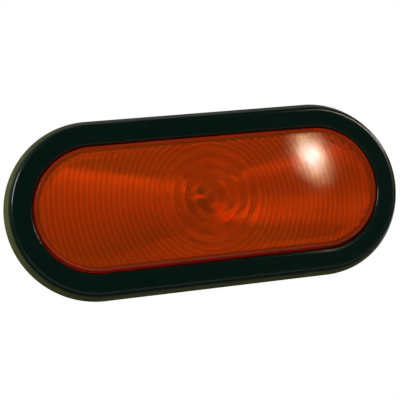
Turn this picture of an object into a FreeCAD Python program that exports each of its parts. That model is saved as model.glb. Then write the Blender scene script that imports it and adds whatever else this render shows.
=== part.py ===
"""Oval stop, turn and tail light for a trailer, in its rubber grommet.

The frame: +X along the lamp, +Z up, +Y to the back. The origin lies in the plane of the panel's
front face (the back of the grommet's flange), on the axis of the lamp, so that the lens faces -Y.
Every outline across the lamp is a stadium: two straight sides of spine_length and two half
circles. A radius in the sheet is measured from that spine. All lengths are in millimetres.
"""
import FreeCAD, Part
import math
import os
import re
import Sketcher

SIZES = {
    # the shared outline and the fit of the lamp in its rubber
    "spine_length": 108.4,
    "lamp_gap": 0.3,
    # lens
    "lens_radius": 28.7,
    "lens_wall": 2.3,
    "lens_rise": 7.5,
    "lens_flange": 1.5,
    "crown_radius": 2000.0,
    "lens_round": 1.2,
    "tongue_inset": 0.1,
    "tongue_width": 1.0,
    "tongue_depth": 1.4,
    "bullseye_pitch": 5.3,
    "bullseye_rings": 4,
    "bullseye_relief": 0.65,
    "band_pitch": 2.5,
    "band_relief": 0.36,
    # sealant
    "sealant_side": 0.2,
    "sealant_floor": 0.4,
    # housing
    "housing_flange": 1.4,
    "flange_ledge": 2.4,
    "collar_wall": 0.9,
    "collar_depth": 3.1,
    "collar_slope": 1.5,
    "rim_lip": 1.5,
    "tray_wall": 2.4,
    "tray_floor": 2.2,
    "tray_draft": 1.0,
    "tray_round": 3.0,
    "rib_width": 2.0,
    "rib_height": 2.4,
    "rib_spacing": 20.0,
    "rib_length": 36.0,
    "stake_radius": 1.5,
    "stake_head_rim": 0.9,
    "stake_head": 1.2,
    "stake_margin": 5.0,
    # plug socket
    "cavity_radius": 15.6,
    "cavity_depth": 6.2,
    "spigot_wall": 1.9,
    "socket_rim": 4.0,
    "socket_flange": 2.4,
    "well_radius": 15.0,
    "well_depth": 13.0,
    "well_floor": 3.0,
    "well_chamfer": 0.8,
    "barrel_wall": 2.5,
    "barrel_draft": 0.7,
    "notch_width": 13.0,
    "notch_depth": 10.0,
    "gusset_width": 1.8,
    "gusset_height": 9.0,
    # grommet
    "web": 0.8,
    "lip_bevel": 0.8,
    "lip_drop": 0.5,
    "lip_round": 0.7,
    "slot_wall": 4.0,
    "flange_cover": 8.9,
    "flange_slope": 2.8,
    "flange_edge": 1.6,
    "flange_depth": 8.0,
    "flange_round": 1.4,
    "panel_slot": 3.2,
    "bead_height": 3.0,
    "bead_land": 2.0,
    "bead_taper": 8.8,
    "tail_wall": 3.6,
    # reflector
    "reflector_wall": 0.8,
    "reflector_clear": 0.3,
    "dish_depth": 12.5,
    "dish_floor_radius": 13.0,
    "dish_floor_flat": 10.0,
    "bowl_depth": 2.5,
    "bulb_hole_clear": 1.5,
    # bulb
    "globe_radius": 9.0,
    "bulb_length": 15.0,
    "neck_radius": 5.5,
    "glass_wall": 0.7,
    "stem_clear": 0.9,
    "stem_length": 7.2,
    "support_radius": 0.25,
    "support_spread": 3.2,
    "support_row": 1.2,
    "filament_radius": 0.35,
    "stop_filament_lead": 2.0,
    "tail_filament_lag": 0.5,
    # shock mount and carrier
    "mount_gap": 2.9,
    "mount_wall": 2.5,
    "mount_flange": 1.6,
    "mount_grip": 2.0,
    "neck_inset": 0.8,
    "carrier_plate": 2.0,
    "carrier_land": 1.5,
    "carrier_ear": 4.0,
    # terminals
    "pin_radius": 2.0,
    "pin_shoulder": 0.3,
    "pin_circle": 7.5,
    "pin_length": 9.5,
    "pin_head_rim": 0.8,
    "pin_head": 1.2,
    "strap_thickness": 0.8,
    "strap_width": 4.0,
    "strap_reach": 3.1,
    "lead_radius": 0.35,
    "lead_gap": 1.0,
    "lead_lap": 2.0,
    "potting_cover": 1.4,
}

# Radii and places along Y, worked out from the sizes. Each line may use the ones above it.
PLACES = {
    "half_spine": "spine_length / 2",
    # the joint between lens and housing
    "flange_seat": "-(web + lamp_gap)",
    "parting": "flange_seat - housing_flange",
    "lens_flange_front": "parting - lens_flange",
    "lens_apex": "parting - lens_rise",
    "hollow_radius": "lens_radius - lens_wall",
    "hollow_apex": "lens_apex + lens_wall",
    "tongue_inner": "hollow_radius + tongue_inset",
    "tongue_outer": "tongue_inner + tongue_width",
    "tongue_tip": "parting + tongue_depth",
    "groove_inner": "tongue_inner - sealant_side",
    "groove_outer": "tongue_outer + sealant_side",
    "groove_floor": "tongue_tip + sealant_floor",
    # reflector
    "rim_opening": "groove_inner - rim_lip",
    "dish_radius": "rim_opening - reflector_clear - reflector_wall",
    "dish_floor": "parting + dish_depth",
    "bulb_hole_radius": "neck_radius + bulb_hole_clear",
    "bowl_end": "dish_floor + bowl_depth + reflector_wall",
    # carrier and bulb
    "carrier_top": "bowl_end + mount_gap + mount_flange",
    "tray_inside": "carrier_top + carrier_plate",
    "neck_end": "tray_inside - neck_inset",
    "globe_place": "neck_end - bulb_length",
    "stem_radius": "neck_radius - glass_wall - stem_clear",
    "stem_foot": "neck_end - glass_wall",
    "stem_top": "stem_foot - stem_length",
    "carrier_hole": "neck_radius + mount_wall",
    "mount_flange_radius": "carrier_hole + mount_grip",
    # housing
    "collar_radius": "groove_outer + collar_wall",
    "lamp_flange_radius": "collar_radius + flange_ledge",
    "collar_end": "flange_seat + collar_depth",
    "body_radius": "rim_opening + tray_wall",
    "bore_radius": "rim_opening - tray_draft",
    "tray_depth": "tray_inside + tray_floor",
    "cavity_bottom": "tray_inside + cavity_depth",
    "well_bottom": "cavity_bottom + well_floor",
    "socket_end": "well_bottom + well_depth",
    "spigot_radius": "cavity_radius + spigot_wall",
    "socket_rim_radius": "spigot_radius + socket_rim",
    "socket_rim_back": "tray_depth + socket_flange",
    "barrel_radius": "well_radius + barrel_wall",
    "carrier_radius": "spigot_radius + carrier_land",
    "stake_place": "carrier_radius + stake_margin",
    # grommet
    "groove_front": "lens_flange_front - lamp_gap",
    "lip_inner": "lens_radius + lamp_gap",
    "slot_radius": "collar_radius + lamp_gap + slot_wall",
    "flange_radius": "slot_radius + flange_cover",
    "shoulder_radius": "flange_radius - flange_slope",
    "bead_radius": "slot_radius + bead_height",
    "tail_end": "panel_slot + bead_land + bead_taper",
    # terminals
    "pin_shank_radius": "pin_radius + pin_shoulder",
    "pin_head_radius": "pin_shank_radius + pin_head_rim",
    "pin_tip": "well_bottom + pin_length",
    "strap_top": "cavity_bottom - strap_thickness",
    "pin_head_top": "strap_top - pin_head",
    "strap_end": "neck_end + lead_gap",
    "potting_top": "pin_head_top - potting_cover",
}

doc = FreeCAD.newDocument("trailer_tail_light")
sheet = doc.addObject("Spreadsheet::Sheet", "dims")
places = doc.addObject("Spreadsheet::Sheet", "places")


def fill_sheets():
    """Write the driving sizes as plain numbers and the places as formulas, each with its alias."""
    for row, (name, number) in enumerate(SIZES.items(), start=1):
        sheet.set(f"A{row}", name)
        sheet.set(f"B{row}", str(number))
        sheet.setAlias(f"B{row}", name)
    doc.recompute()
    for row, (name, formula) in enumerate(PLACES.items(), start=1):
        places.set(f"A{row}", name)
        places.set(f"B{row}", "=" + bound(formula, own_sheet=True))
        places.setAlias(f"B{row}", name)
        doc.recompute()


def bound(formula, own_sheet=False):
    """The formula with each name led by its sheet, as an expression of the document."""

    def lead(match):
        word = match.group(0)
        if word in SIZES:
            return "dims." + word
        if word in PLACES:
            return word if own_sheet else "places." + word
        return word

    return re.sub(r"[a-z][a-z_]*", lead, formula)


def size(formula):
    """The number that a formula gives now, to draw a sketch close to its solution."""
    return float(places.evalExpression(bound(formula, own_sheet=True)))


def plane(body, role):
    return next(f for f in body.Origin.OriginFeatures if f.Role == role)


def new_body(label):
    body = doc.addObject("PartDesign::Body", label)
    body.Label = label
    return body


def side_sketch(body, name, across="0"):
    """A sketch in the YZ plane, moved along X: its x is the lamp's Y and its y is the lamp's Z."""
    sketch = body.newObject("Sketcher::SketchObject", name)
    sketch.AttachmentSupport = [(plane(body, "YZ_Plane"), "")]
    sketch.MapMode = "FlatFace"
    sketch.setExpression(".AttachmentOffset.Base.z", bound(across))
    return sketch


def front_sketch(body, name, depth):
    """A sketch that faces the front, at a place along Y: its x is X and its y is Z."""
    sketch = body.newObject("Sketcher::SketchObject", name)
    sketch.AttachmentSupport = [(plane(body, "XZ_Plane"), "")]
    sketch.MapMode = "FlatFace"
    sketch.setExpression(".AttachmentOffset.Base.z", bound(f"-({depth})"))
    return sketch


def place_point(sketch, curve, end, across, up):
    """Hold a point at two distances from the sketch's origin, or on an axis where one is 0."""
    if across == "0":
        sketch.addConstraint(Sketcher.Constraint("PointOnObject", curve, end, -2))
    else:
        held = sketch.addConstraint(
            Sketcher.Constraint("DistanceX", -1, 1, curve, end, size(across)))
        sketch.setExpression(f"Constraints[{held}]", bound(across))
    if up == "0":
        sketch.addConstraint(Sketcher.Constraint("PointOnObject", curve, end, -1))
    else:
        held = sketch.addConstraint(
            Sketcher.Constraint("DistanceY", -1, 1, curve, end, size(up)))
        sketch.setExpression(f"Constraints[{held}]", bound(up))


def hold_radius(sketch, curve, radius):
    held = sketch.addConstraint(Sketcher.Constraint("Radius", curve, size(radius)))
    sketch.setExpression(f"Constraints[{held}]", bound(radius))


def draw_outline(sketch, corners):
    """A closed outline of straight lines through corners (across, up), or (across, up, round)."""
    count = len(corners)
    points = [FreeCAD.Vector(size(c[0]), size(c[1]), 0) for c in corners]
    arrive, leave, middle = [], [], []
    for i, corner in enumerate(corners):
        before = (points[i - 1] - points[i]).normalize()
        after = (points[(i + 1) % count] - points[i]).normalize()
        radius = size(corner[2]) if len(corner) > 2 else 0.0
        half = before.getAngle(after) / 2
        arrive.append(points[i] + before * (radius / math.tan(half)))
        leave.append(points[i] + after * (radius / math.tan(half)))
        inwards = before + after
        if radius:
            inwards.normalize()
            middle.append(points[i] + inwards * (radius / math.sin(half) - radius))
        else:
            middle.append(points[i])
    lines = [sketch.addGeometry(Part.LineSegment(leave[i], arrive[(i + 1) % count]))
             for i in range(count)]
    for i, corner in enumerate(corners):
        line_in, line_out = lines[i - 1], lines[i]
        if len(corner) == 2:
            sketch.addConstraint(Sketcher.Constraint("Coincident", line_in, 2, line_out, 1))
            place_point(sketch, line_out, 1, corner[0], corner[1])
            continue
        arc = sketch.addGeometry(Part.Arc(arrive[i], middle[i], leave[i]))
        starts_first = sketch.getPoint(arc, 1).distanceToPoint(arrive[i]) < 1e-6
        first, last = (1, 2) if starts_first else (2, 1)
        sketch.addConstraint(Sketcher.Constraint("Tangent", line_in, 2, arc, first))
        sketch.addConstraint(Sketcher.Constraint("Tangent", arc, last, line_out, 1))
        hold_radius(sketch, arc, corner[2])
        meeting = sketch.addGeometry(Part.Point(points[i]), True)
        sketch.addConstraint(Sketcher.Constraint("PointOnObject", meeting, 1, line_in))
        sketch.addConstraint(Sketcher.Constraint("PointOnObject", meeting, 1, line_out))
        place_point(sketch, meeting, 1, corner[0], corner[1])


def draw_circle(sketch, across, up, radius):
    centre = FreeCAD.Vector(size(across), size(up), 0)
    circle = sketch.addGeometry(Part.Circle(centre, FreeCAD.Vector(0, 0, 1), size(radius)))
    hold_radius(sketch, circle, radius)
    place_point(sketch, circle, 3, across, up)


def draw_stadium(sketch, radius, half_length="half_spine"):
    """Two half circles about the ends of the spine, joined by two straight sides."""
    half, high = size(half_length), size(radius)
    up = FreeCAD.Vector(0, 0, 1)
    turn = math.pi / 2
    top = sketch.addGeometry(Part.LineSegment(
        FreeCAD.Vector(half, high, 0), FreeCAD.Vector(-half, high, 0)))
    left = sketch.addGeometry(Part.ArcOfCircle(
        Part.Circle(FreeCAD.Vector(-half, 0, 0), up, high), turn, 3 * turn))
    bottom = sketch.addGeometry(Part.LineSegment(
        FreeCAD.Vector(-half, -high, 0), FreeCAD.Vector(half, -high, 0)))
    right = sketch.addGeometry(Part.ArcOfCircle(
        Part.Circle(FreeCAD.Vector(half, 0, 0), up, high), -turn, turn))
    ring = [top, left, bottom, right]
    for i, curve in enumerate(ring):
        follower = ring[(i + 1) % len(ring)]
        sketch.addConstraint(Sketcher.Constraint("Tangent", curve, 2, follower, 1))
    sketch.addConstraint(Sketcher.Constraint("Horizontal", top))
    place_point(sketch, left, 3, f"-({half_length})", "0")
    place_point(sketch, right, 3, half_length, "0")
    hold_radius(sketch, right, radius)


def add_pad(body, sketch, length, to_back=False):
    """Raise a front sketch: towards the front, or towards the back."""
    pad = body.newObject("PartDesign::Pad", sketch.Name + "_pad")
    pad.Profile = sketch
    pad.setExpression("Length", bound(length))
    pad.Reversed = to_back
    return pad


def add_pocket(body, sketch, length, to_front=False):
    """Cut a front sketch into the solid: towards the back, or towards the front."""
    before = tip_volume(body)
    pocket = body.newObject("PartDesign::Pocket", sketch.Name + "_cut")
    pocket.Profile = sketch
    pocket.setExpression("Length", bound(length))
    pocket.Reversed = to_front
    expect_less(body, before)
    return pocket


def add_groove(body, sketch):
    """Cut a side sketch turned all the way about the lamp's axis."""
    before = tip_volume(body)
    groove = body.newObject("PartDesign::Groove", sketch.Name + "_groove")
    groove.Profile = sketch
    groove.ReferenceAxis = (sketch, ["H_Axis"])
    groove.Angle = 360
    expect_less(body, before)
    return groove


def tip_volume(body):
    doc.recompute()
    return body.Shape.Volume


def expect_less(body, before):
    doc.recompute()
    if not body.Shape.Volume < before:
        raise RuntimeError(f"a cut in {body.Label} removed nothing")


def add_turned(body, name, corners):
    """A solid of revolution about the body's Y axis, from corners (place along Y, radius)."""
    sketch = side_sketch(body, name)
    draw_outline(sketch, corners)
    turned = body.newObject("PartDesign::Revolution", name + "_turned")
    turned.Profile = sketch
    turned.ReferenceAxis = (sketch, ["H_Axis"])
    turned.Angle = 360
    return turned


def add_stadium_section(body, name, corners):
    """Carry a section (place along Y, radius) along the whole stadium: sides, then ends."""
    side = side_sketch(body, name + "_side")
    draw_outline(side, corners)
    straight = body.newObject("PartDesign::Pad", name + "_straight")
    straight.Profile = side
    straight.SideType = "Symmetric"
    straight.setExpression("Length", bound("spine_length"))
    add_mirror(body, straight, "XY_Plane", name + "_lower")
    end = side_sketch(body, name + "_end", "half_spine")
    draw_outline(end, corners)
    turned = body.newObject("PartDesign::Revolution", name + "_round_end")
    turned.Profile = end
    turned.ReferenceAxis = (end, ["H_Axis"])
    turned.Angle = 180
    add_mirror(body, turned, "YZ_Plane", name + "_far_end")


def add_mirror(body, feature, role, name):
    mirror = body.newObject("PartDesign::Mirrored", name)
    mirror.Originals = [feature]
    mirror.MirrorPlane = (plane(body, role), [""])
    body.Tip = mirror
    doc.recompute()
    return mirror


def add_fillet(body, name, radius, chosen):
    """Round the edges of the body's tip that the test picks out."""
    doc.recompute()
    base = body.Tip
    names = [f"Edge{i}" for i, edge in enumerate(base.Shape.Edges, start=1) if chosen(edge)]
    fillet = body.newObject("PartDesign::Fillet", name)
    fillet.Base = (base, names)
    fillet.setExpression("Radius", bound(radius))
    doc.recompute()
    return fillet


def make_grommet():
    """Rubber ring with a slot for the panel outside and a groove for the lamp's flange inside."""
    body = new_body("grommet")
    add_stadium_section(body, "rubber", [
        ("0", "flange_radius"),
        ("-flange_edge", "flange_radius", "flange_round"),
        ("-flange_depth", "shoulder_radius", "flange_round"),
        ("lip_drop - flange_depth", "lip_inner + lip_bevel", "lip_round"),
        ("groove_front", "lip_inner"),
        ("groove_front", "lamp_flange_radius + lamp_gap"),
        ("-web", "lamp_flange_radius + lamp_gap"),
        ("-web", "collar_radius + lamp_gap"),
        ("collar_end + lamp_gap", "collar_radius + lamp_gap"),
        ("collar_end + collar_slope + lamp_gap", "body_radius + lamp_gap"),
        ("tail_end", "body_radius + lamp_gap"),
        ("tail_end", "body_radius + lamp_gap + tail_wall", "lip_round"),
        ("panel_slot + bead_land", "bead_radius", "lip_round"),
        ("panel_slot", "bead_radius", "lip_round"),
        ("panel_slot", "slot_radius"),
        ("0", "slot_radius"),
    ])
    return body


def ring_turns():
    """Where the lens optics turn, from the axis outwards, as (radius, relief) formulas.

    Crests and valleys take turns, half a ring apart. The bullseye's rings are wide, and the last
    of them ends in a valley. The bands beyond it are finer, out past the ends of the lens.
    """
    bullseye = 2 * int(SIZES["bullseye_rings"]) + 1
    reach = size("half_spine + lens_radius") - size(f"{bullseye} * bullseye_pitch / 2")
    bands = math.ceil(2 * reach / size("band_pitch"))
    turns = [("0", "bullseye_relief")]
    for i in range(1, bullseye + bands + 1):
        radius = f"{min(i, bullseye)} * bullseye_pitch / 2"
        if i > bullseye:
            radius += f" + {i - bullseye} * band_pitch / 2"
        relief = "bullseye_relief" if i < bullseye else "band_relief"
        turns.append((radius, relief if i % 2 == 0 else "0 * " + relief))
    return turns


def make_lens():
    """Crowned lens, less the mould core that shapes its inside and its rings of prisms."""
    blank = new_body("lens_blank")
    flange = front_sketch(blank, "lens_flange_outline", "parting")
    draw_stadium(flange, "lamp_flange_radius")
    add_pad(blank, flange, "lens_flange")
    dome = front_sketch(blank, "lens_outline", "parting")
    draw_stadium(dome, "lens_radius")
    add_pad(blank, dome, "lens_rise + lens_wall")
    tongue = front_sketch(blank, "tongue_outline", "parting")
    draw_stadium(tongue, "tongue_outer")
    draw_stadium(tongue, "tongue_inner")
    add_pad(blank, tongue, "tongue_depth", to_back=True)
    crown = side_sketch(blank, "crown")
    draw_crown(crown, "lens_apex", "lens_apex - 2 * lens_wall")
    add_groove(blank, crown)
    limit = size("lens_flange_front") - 0.5
    add_fillet(blank, "lens_edge", "lens_round",
               lambda edge: all(v.Point.y < limit for v in edge.Vertexes))

    core = new_body("lens_core")
    hollow = front_sketch(core, "hollow_outline", "parting")
    draw_stadium(hollow, "hollow_radius")
    add_pad(core, hollow, "lens_rise")
    rings = side_sketch(core, "prism_rings")
    turns = ring_turns()
    corners = [(f"hollow_apex + ({radius}) ^ 2 / (2 * crown_radius) + {relief}", radius)
               for radius, relief in turns]
    front = "lens_apex - lens_wall"
    corners += [(front, turns[-1][0]), (front, "0")]
    draw_outline(rings, corners)
    add_groove(core, rings)

    return cut("lens", blank, core)


def draw_crown(sketch, apex, front):
    """The space in front of a shallow dome whose top lies on the axis at apex."""
    reach = "half_spine + 2 * lens_radius"
    dome = size("crown_radius")
    lean = math.asin(size(reach) / dome)
    centre = FreeCAD.Vector(size(apex) + dome, 0, 0)
    top, between, far = (
        centre - FreeCAD.Vector(math.cos(angle), -math.sin(angle), 0) * dome
        for angle in (0, lean / 2, lean))
    arc = sketch.addGeometry(Part.Arc(top, between, far))
    first, last = (1, 2) if sketch.getPoint(arc, 1).distanceToPoint(top) < 1e-6 else (2, 1)
    corner = FreeCAD.Vector(size(front), far.y, 0)
    foot = FreeCAD.Vector(size(front), 0, 0)
    side = sketch.addGeometry(Part.LineSegment(far, corner))
    face = sketch.addGeometry(Part.LineSegment(corner, foot))
    base = sketch.addGeometry(Part.LineSegment(foot, top))
    sketch.addConstraint(Sketcher.Constraint("Coincident", arc, last, side, 1))
    sketch.addConstraint(Sketcher.Constraint("Coincident", side, 2, face, 1))
    sketch.addConstraint(Sketcher.Constraint("Coincident", face, 2, base, 1))
    sketch.addConstraint(Sketcher.Constraint("Coincident", base, 2, arc, first))
    sketch.addConstraint(Sketcher.Constraint("Horizontal", side))
    sketch.addConstraint(Sketcher.Constraint("PointOnObject", arc, 3, -1))
    hold_radius(sketch, arc, "crown_radius")
    place_point(sketch, base, 2, apex, "0")
    place_point(sketch, face, 1, front, reach)
    sketch.addConstraint(Sketcher.Constraint("PointOnObject", face, 2, -1))


def make_sealant():
    """Bead squeezed up both sides of the lens tongue in the housing's groove."""
    body = new_body("lens_sealant")
    add_stadium_section(body, "bead", [
        ("parting", "groove_inner"),
        ("groove_floor", "groove_inner"),
        ("groove_floor", "groove_outer"),
        ("parting", "groove_outer"),
        ("parting", "tongue_outer"),
        ("tongue_tip", "tongue_outer"),
        ("tongue_tip", "tongue_inner"),
        ("parting", "tongue_inner"),
    ])
    return body


def make_housing():
    """Tray with a grooved rim in front, a round hole for the plug socket and stakes inside."""
    body = new_body("housing")
    add_stadium_section(body, "tray", [
        ("parting", "lamp_flange_radius"),
        ("flange_seat", "lamp_flange_radius"),
        ("flange_seat", "collar_radius"),
        ("collar_end", "collar_radius"),
        ("collar_end + collar_slope", "body_radius"),
        ("tray_depth", "body_radius - tray_draft", "tray_round"),
        ("tray_depth", "0"),
        ("tray_inside", "0"),
        ("tray_inside", "bore_radius", "tray_round / 2"),
        ("parting", "rim_opening"),
        ("parting", "groove_inner"),
        ("groove_floor", "groove_inner"),
        ("groove_floor", "groove_outer"),
        ("parting", "groove_outer"),
    ])
    ribs = front_sketch(body, "back_ribs", "tray_depth")
    near = "socket_rim_radius + rib_width"
    for side in ("", "-"):
        for level in ("", "-"):
            low = f"{level}rib_spacing / 2 - rib_width / 2"
            draw_outline(ribs, [
                (f"{side}({near})", low),
                (f"{side}({near} + rib_length)", low),
                (f"{side}({near} + rib_length)", f"{low} + rib_width"),
                (f"{side}({near})", f"{low} + rib_width"),
            ])
    add_pad(body, ribs, "rib_height", to_back=True)
    hole = front_sketch(body, "socket_hole", "tray_inside")
    draw_circle(hole, "0", "0", "spigot_radius")
    add_pocket(body, hole, "2 * tray_floor")
    stakes = front_sketch(body, "stakes", "tray_inside")
    draw_circle(stakes, "stake_place", "0", "stake_radius")
    draw_circle(stakes, "-stake_place", "0", "stake_radius")
    add_pad(body, stakes, "carrier_plate")
    heads = front_sketch(body, "stake_heads", "carrier_top")
    draw_circle(heads, "stake_place", "0", "stake_radius + stake_head_rim")
    draw_circle(heads, "-stake_place", "0", "stake_radius + stake_head_rim")
    add_pad(body, heads, "stake_head")
    return body


def make_socket():
    """Round moulding in the tray's floor: a well for the plug, and a cavity for the terminals.

    Its spigot fills the hole in the floor, its flange sits on the tray's back, and the notch in
    the well's wall lets the plug's lead out sideways.
    """
    body = new_body("plug_socket")
    add_turned(body, "barrel", [
        ("tray_inside", "cavity_radius"),
        ("tray_inside", "spigot_radius"),
        ("tray_depth", "spigot_radius"),
        ("tray_depth", "socket_rim_radius"),
        ("socket_rim_back", "socket_rim_radius"),
        ("socket_rim_back", "barrel_radius + barrel_draft"),
        ("socket_end", "barrel_radius"),
        ("socket_end", "well_radius + well_chamfer"),
        ("socket_end - well_chamfer", "well_radius"),
        ("well_bottom", "well_radius"),
        ("well_bottom", "0"),
        ("cavity_bottom", "0"),
        ("cavity_bottom", "cavity_radius"),
    ])
    gusset = body.newObject("Sketcher::SketchObject", "gusset")
    gusset.AttachmentSupport = [(plane(body, "XY_Plane"), "")]
    gusset.MapMode = "FlatFace"
    draw_outline(gusset, [
        ("barrel_radius - barrel_wall / 2", "socket_rim_back - socket_flange / 2"),
        ("socket_rim_radius", "socket_rim_back - socket_flange / 2"),
        ("socket_rim_radius", "socket_rim_back"),
        ("barrel_radius - barrel_wall / 2", "socket_rim_back + gusset_height"),
    ])
    web = body.newObject("PartDesign::Pad", "gusset_web")
    web.Profile = gusset
    web.SideType = "Symmetric"
    web.setExpression("Length", bound("gusset_width"))
    ring = body.newObject("PartDesign::PolarPattern", "gusset_ring")
    ring.Originals = [web]
    ring.Axis = (plane(body, "Y_Axis"), [""])
    ring.Angle = 360
    ring.Occurrences = 6
    body.Tip = ring
    doc.recompute()
    notch = front_sketch(body, "cable_notch", "socket_end - notch_depth")
    draw_outline(notch, [
        ("-notch_width / 2", "-2 * barrel_radius"),
        ("notch_width / 2", "-2 * barrel_radius"),
        ("notch_width / 2", "0"),
        ("-notch_width / 2", "0"),
    ])
    add_pocket(body, notch, "notch_depth + well_chamfer")
    holes = front_sketch(body, "pin_holes", "cavity_bottom")
    for angle in PIN_ANGLES.values():
        draw_circle(holes, f"pin_circle * cos({angle} deg)", f"pin_circle * sin({angle} deg)",
                    "pin_shank_radius")
    add_pocket(body, holes, "2 * well_floor")
    return body


def draw_split_circle(sketch, radius, flat):
    """A circle in four arcs, the top and bottom ones as wide as flat, to meet a stadium's sides."""
    around = size(radius)
    lean = math.asin(size(flat) / 2 / around)
    circle = Part.Circle(FreeCAD.Vector(0, 0, 0), FreeCAD.Vector(0, 0, 1), around)
    turn = math.pi / 2
    stops = [turn - lean, turn + lean, 3 * turn - lean, 3 * turn + lean, 5 * turn - lean]
    arcs = [sketch.addGeometry(Part.ArcOfCircle(circle, stops[i], stops[i + 1]))
            for i in range(4)]
    for i, arc in enumerate(arcs):
        follower = arcs[(i + 1) % 4]
        sketch.addConstraint(Sketcher.Constraint("Coincident", arc, 2, follower, 1))
        sketch.addConstraint(Sketcher.Constraint("Coincident", arc, 3, -1, 1))
    hold_radius(sketch, arcs[0], radius)
    for arc, end, side in ((arcs[0], 1, ""), (arcs[0], 2, "-"), (arcs[2], 1, "-"),
                           (arcs[2], 2, "")):
        held = sketch.addConstraint(
            Sketcher.Constraint("DistanceX", -1, 1, arc, end, size(f"{side}{flat} / 2")))
        sketch.setExpression(f"Constraints[{held}]", bound(f"{side}{flat} / 2"))


def make_reflector():
    """Bright oval dish that runs down from the rim to a round bowl about the bulb's neck."""
    body = new_body("reflector")
    flange = front_sketch(body, "reflector_flange", "parting")
    draw_stadium(flange, "groove_inner")
    add_pad(body, flange, "reflector_wall")
    for name, kind, grown, start in (("dish", "Additive", "reflector_wall", "parting"),
                                     ("hollow", "Subtractive", "0 * reflector_wall",
                                      "parting - reflector_wall")):
        rim = front_sketch(body, name + "_rim", start)
        draw_stadium(rim, f"dish_radius + {grown}")
        floor = front_sketch(body, name + "_floor", f"dish_floor + {grown}")
        draw_split_circle(floor, f"dish_floor_radius + {grown}", "dish_floor_flat")
        loft = body.newObject(f"PartDesign::{kind}Loft", name + "_loft")
        loft.Profile = rim
        loft.Sections = [(floor, [""])]
        loft.Ruled = True
    mouth = front_sketch(body, "bowl_mouth", "dish_floor")
    draw_circle(mouth, "0", "0", "dish_floor_radius")
    add_pocket(body, mouth, "2 * reflector_wall")
    add_turned(body, "bowl", [
        ("dish_floor", "dish_floor_radius"),
        ("dish_floor", "dish_floor_radius + reflector_wall"),
        ("dish_floor + reflector_wall", "dish_floor_radius + reflector_wall"),
        ("dish_floor + bowl_depth + reflector_wall", "bulb_hole_radius + reflector_wall"),
        ("dish_floor + bowl_depth + reflector_wall", "bulb_hole_radius"),
        ("dish_floor + bowl_depth", "bulb_hole_radius"),
    ])
    return body


def make_bulb_glass():
    """Round envelope and neck, one shell of glass closed at the neck's foot."""
    outer = doc.addObject("Part::Sphere", "globe_outside")
    outer.setExpression("Radius", bound("globe_radius"))
    outer.setExpression("Placement.Base.y", bound("globe_place"))
    inner = doc.addObject("Part::Sphere", "globe_inside")
    inner.setExpression("Radius", bound("globe_radius - glass_wall"))
    inner.setExpression("Placement.Base.y", bound("globe_place"))
    neck = along_y("neck_outside", "neck_radius", "globe_place", "neck_end")
    bore = along_y("neck_inside", "neck_radius - glass_wall", "globe_place", "stem_foot")
    solid = fused("bulb_outside", [outer, neck])
    space = fused("bulb_inside", [inner, bore])
    return cut("bulb_glass", solid, space)


def along_y(name, radius, start, end, across="0", up="0"):
    """A round bar from one place along Y to another."""
    bar = doc.addObject("Part::Cylinder", name)
    bar.setExpression("Radius", bound(radius))
    bar.setExpression("Height", bound(f"({end}) - ({start})"))
    bar.Placement.Rotation = FreeCAD.Rotation(FreeCAD.Vector(1, 0, 0), -90)
    bar.setExpression("Placement.Base.x", bound(across))
    bar.setExpression("Placement.Base.y", bound(start))
    bar.setExpression("Placement.Base.z", bound(up))
    return bar


def fused(name, pieces):
    whole = doc.addObject("Part::MultiFuse", name)
    whole.Shapes = pieces
    return whole


def cut(name, base, tool):
    rest = doc.addObject("Part::Cut", name)
    rest.Base = base
    rest.Tool = tool
    return rest


def grouped(name, pieces):
    group = doc.addObject("Part::Compound", name)
    group.Links = pieces
    return group


def make_stem():
    """Solid glass stem in the neck, which holds the support wires."""
    return along_y("bulb_stem", "stem_radius", "stem_top", "stem_foot")


FILAMENTS = {
    "stop": ("(globe_place - stop_filament_lead)", "support_row"),
    "tail": ("(globe_place + tail_filament_lag)", "-support_row"),
}


def make_supports():
    """Four straight wires out of the stem, two to each filament."""
    wires = []
    for name, (place, row) in FILAMENTS.items():
        for side in ("", "-"):
            wires.append(along_y(f"{name}_wire{side or '_'}", "support_radius", place,
                                 "stem_top", f"{side}support_spread", row))
    return grouped("filament_supports", wires)


def make_filament(name):
    """Straight coil of tungsten, end to end between its two wires."""
    place, row = FILAMENTS[name]
    bar = doc.addObject("Part::Cylinder", f"filament_{name}")
    bar.setExpression("Radius", bound("filament_radius"))
    bar.setExpression("Height", bound("2 * support_spread + 2 * support_radius"))
    bar.Placement.Rotation = FreeCAD.Rotation(FreeCAD.Vector(0, 1, 0), 90)
    bar.setExpression("Placement.Base.x", bound("-support_spread - support_radius"))
    bar.setExpression("Placement.Base.y", bound(f"{place} - filament_radius"))
    bar.setExpression("Placement.Base.z", bound(row))
    return bar


def make_shock_mount():
    """Rubber sleeve on the bulb's neck, with a groove that the carrier's edge sits in."""
    body = new_body("shock_mount")
    add_turned(body, "sleeve", [
        ("carrier_top - mount_flange", "neck_radius"),
        ("carrier_top - mount_flange", "mount_flange_radius"),
        ("carrier_top", "mount_flange_radius"),
        ("carrier_top", "carrier_hole"),
        ("tray_inside", "carrier_hole"),
        ("tray_inside", "mount_flange_radius"),
        ("tray_inside + mount_flange", "mount_flange_radius"),
        ("tray_inside + mount_flange", "neck_radius"),
    ])
    return body


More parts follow.
